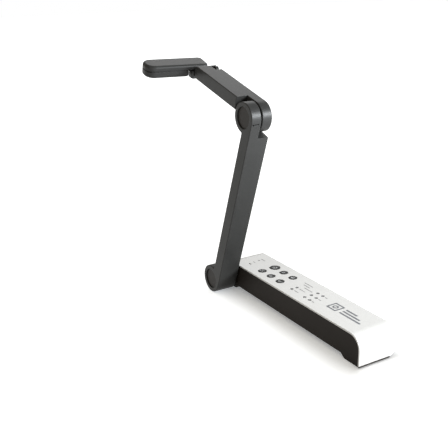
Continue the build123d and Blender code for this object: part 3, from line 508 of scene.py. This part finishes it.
# Strength of the floor's own glow: everywhere; clear of the base, so that leaving it out against the base
# paints a shadow round it; towards +X+Y, as a painted pool of light; and far off.
FLOOR_GLOW = 0.26
OPEN_GLOW = 0.38
SIDE_GLOW = 2.7
FAR_GLOW = 0.35
# Distances in metres over which each of the last three comes up.
OPEN_REACH = (0.0, 0.026)
SIDE_REACH = (0.12, 0.45)
FAR_REACH = (0.6, 1.6)
SIDE_HEADING = (0.65, 0.76)
FLOOR_HALF_SIZE = 6.0

CAMERA_PLACE = (0.7131, -0.4535, 0.371)
CAMERA_FORWARD = (-0.811, 0.483, -0.3305)
CAMERA_ROLL = -0.87
CAMERA_LENS = 58.1
SENSOR_WIDTH = 36.0

WARM = rgb(0.70, 0.65, 0.55)
COOL = rgb(0.64, 0.65, 0.665)
WHITE_LIGHT = (1.0, 1.0, 1.0)
DAYLIGHT = (0.93, 0.97, 1.0)


def clear_of_base(g):
    """0 against the base's outline on the floor, 1 where the floor is clear of it: the mask that cuts the
    floor's glow to paint a shadow round the base.
    """
    low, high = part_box("base_tub")
    centre = ((low[0] + high[0]) / 2.0, (low[1] + high[1]) / 2.0, 0.0)
    half = (high[0] - centre[0], high[1] - centre[1], 0.0)
    offset = g.vector("ABSOLUTE", g.vector("SUBTRACT", g.place, centre))
    outside = g.vector("MAXIMUM", g.vector("SUBTRACT", offset, half), (0.0, 0.0, 0.0))
    return g.spread(g.vector("LENGTH", outside), 0.0, 1.0, *OPEN_REACH)


def make_floor():
    """Pale floor whose glow keeps it white; the glow is cut round the base to paint a tight shadow there, and
    raised towards +X+Y as a painted pool of light.
    """
    mesh = bpy.data.meshes.new("floor")
    bm = bmesh.new()
    bmesh.ops.create_grid(bm, x_segments=4, y_segments=4, size=FLOOR_HALF_SIZE)
    bm.to_mesh(mesh)
    bm.free()
    floor = bpy.data.objects.new("floor", mesh)
    bpy.context.scene.collection.objects.link(floor)
    g = Graph("floor_white")
    g.set(Base_Color=g.mix(g.noise(3.0), rgb(0.93, 0.93, 0.93), rgb(0.95, 0.95, 0.95)), Roughness=0.8)
    parts = g.add("ShaderNodeSeparateXYZ")
    g.feed(parts.inputs[0], g.place)
    along_x = g.math("MULTIPLY", parts.outputs["X"], SIDE_HEADING[0])
    along_y = g.math("MULTIPLY", parts.outputs["Y"], SIDE_HEADING[1])
    # A painted pool of light on the floor towards +X+Y.
    painted_light_pool = g.spread(g.math("ADD", along_x, along_y), 0.0, SIDE_GLOW, *SIDE_REACH)
    far_away = g.spread(g.vector("LENGTH", g.place), 0.0, FAR_GLOW, *FAR_REACH)
    around = g.math("ADD", g.math("ADD", painted_light_pool, far_away), OPEN_GLOW)
    # The glow is cut against the base: a painted shadow round it.
    glow = g.math("ADD", g.math("MULTIPLY", around, clear_of_base(g)), FLOOR_GLOW)
    g.set(Specular_IOR_Level=0.1, Emission_Color=rgb(0.93, 0.965, 1.0), Emission_Strength=glow)
    mesh.materials.append(g.material)


def make_light(name, location, target, side, power, colour, lit=None):
    """Square soft box aimed at a point. With lit given, it lights only that collection."""
    data = bpy.data.lights.new(name, "AREA")
    data.color = colour
    data.shape = "RECTANGLE"
    data.size = side
    data.size_y = side
    data.energy = power
    light = bpy.data.objects.new(name, data)
    light.location = location
    aim = Vector(target) - Vector(location)
    light.rotation_euler = aim.to_track_quat("-Z", "Y").to_euler()
    bpy.context.scene.collection.objects.link(light)
    if lit is not None:
        light.light_linking.receiver_collection = lit


def object_collection():
    """Every piece of the object, for a light that leaves the floor alone."""
    group = bpy.data.collections.new("camera_pieces")
    for piece in bpy.context.scene.objects:
        if piece.type == "MESH" and piece.name != "floor":
            group.objects.link(piece)
    return group


def make_world():
    """Pale surroundings, cool on the sockets' side and warm on the arm's, seen as plain white."""
    world = bpy.data.worlds.new("studio")
    world.use_nodes = True
    tree = world.node_tree
    background = tree.nodes["Background"]
    place = tree.nodes.new("ShaderNodeTexCoord")
    parts = tree.nodes.new("ShaderNodeSeparateXYZ")
    ramp = tree.nodes.new("ShaderNodeMapRange")
    tint = tree.nodes.new("ShaderNodeMix")
    tint.data_type = "RGBA"
    for key, number in (("From Min", -0.7), ("From Max", 0.7)):
        ramp.inputs[key].default_value = number
    tree.links.new(place.outputs["Generated"], parts.inputs[0])
    tree.links.new(parts.outputs["Y"], ramp.inputs["Value"])
    tree.links.new(ramp.outputs["Result"], tint.inputs[0])
    tint.inputs[6].default_value = WARM
    tint.inputs[7].default_value = COOL
    glow = tree.nodes.new("ShaderNodeMix")
    glow.data_type = "RGBA"
    seen = tree.nodes.new("ShaderNodeLightPath").outputs["Is Camera Ray"]
    tree.links.new(seen, glow.inputs[0])
    tree.links.new(tint.outputs[2], glow.inputs[6])
    glow.inputs[7].default_value = rgb(*WHITE_LIGHT)
    tree.links.new(glow.outputs[2], background.inputs["Color"])
    bpy.context.scene.world = world


def make_camera():
    data = bpy.data.cameras.new("camera")
    data.sensor_width = SENSOR_WIDTH
    data.lens = CAMERA_LENS
    camera = bpy.data.objects.new("camera", data)
    bpy.context.scene.collection.objects.link(camera)
    forward = Vector(CAMERA_FORWARD).normalized()
    right = forward.cross(Vector((0.0, 0.0, 1.0))).normalized()
    up = right.cross(forward)
    roll = math.radians(CAMERA_ROLL)
    right = right * math.cos(roll) + up * math.sin(roll)
    up = right.cross(forward)
    turned = Matrix((right, up, -forward)).transposed().to_4x4()
    camera.matrix_world = Matrix.Translation(CAMERA_PLACE) @ turned
    bpy.context.scene.camera = camera


make_floor()
make_world()
make_light("key_softbox", (0.88, 0.64, 0.48), (0.08, -0.03, 0.18), 0.36, 37.0, DAYLIGHT,
           lit=object_collection())
make_light("back_softbox", (-0.85, 0.55, 0.9), (0.0, -0.05, 0.2), 0.7, 2.3, WHITE_LIGHT)
make_camera()
bpy.context.scene.view_settings.view_transform = "Standard"
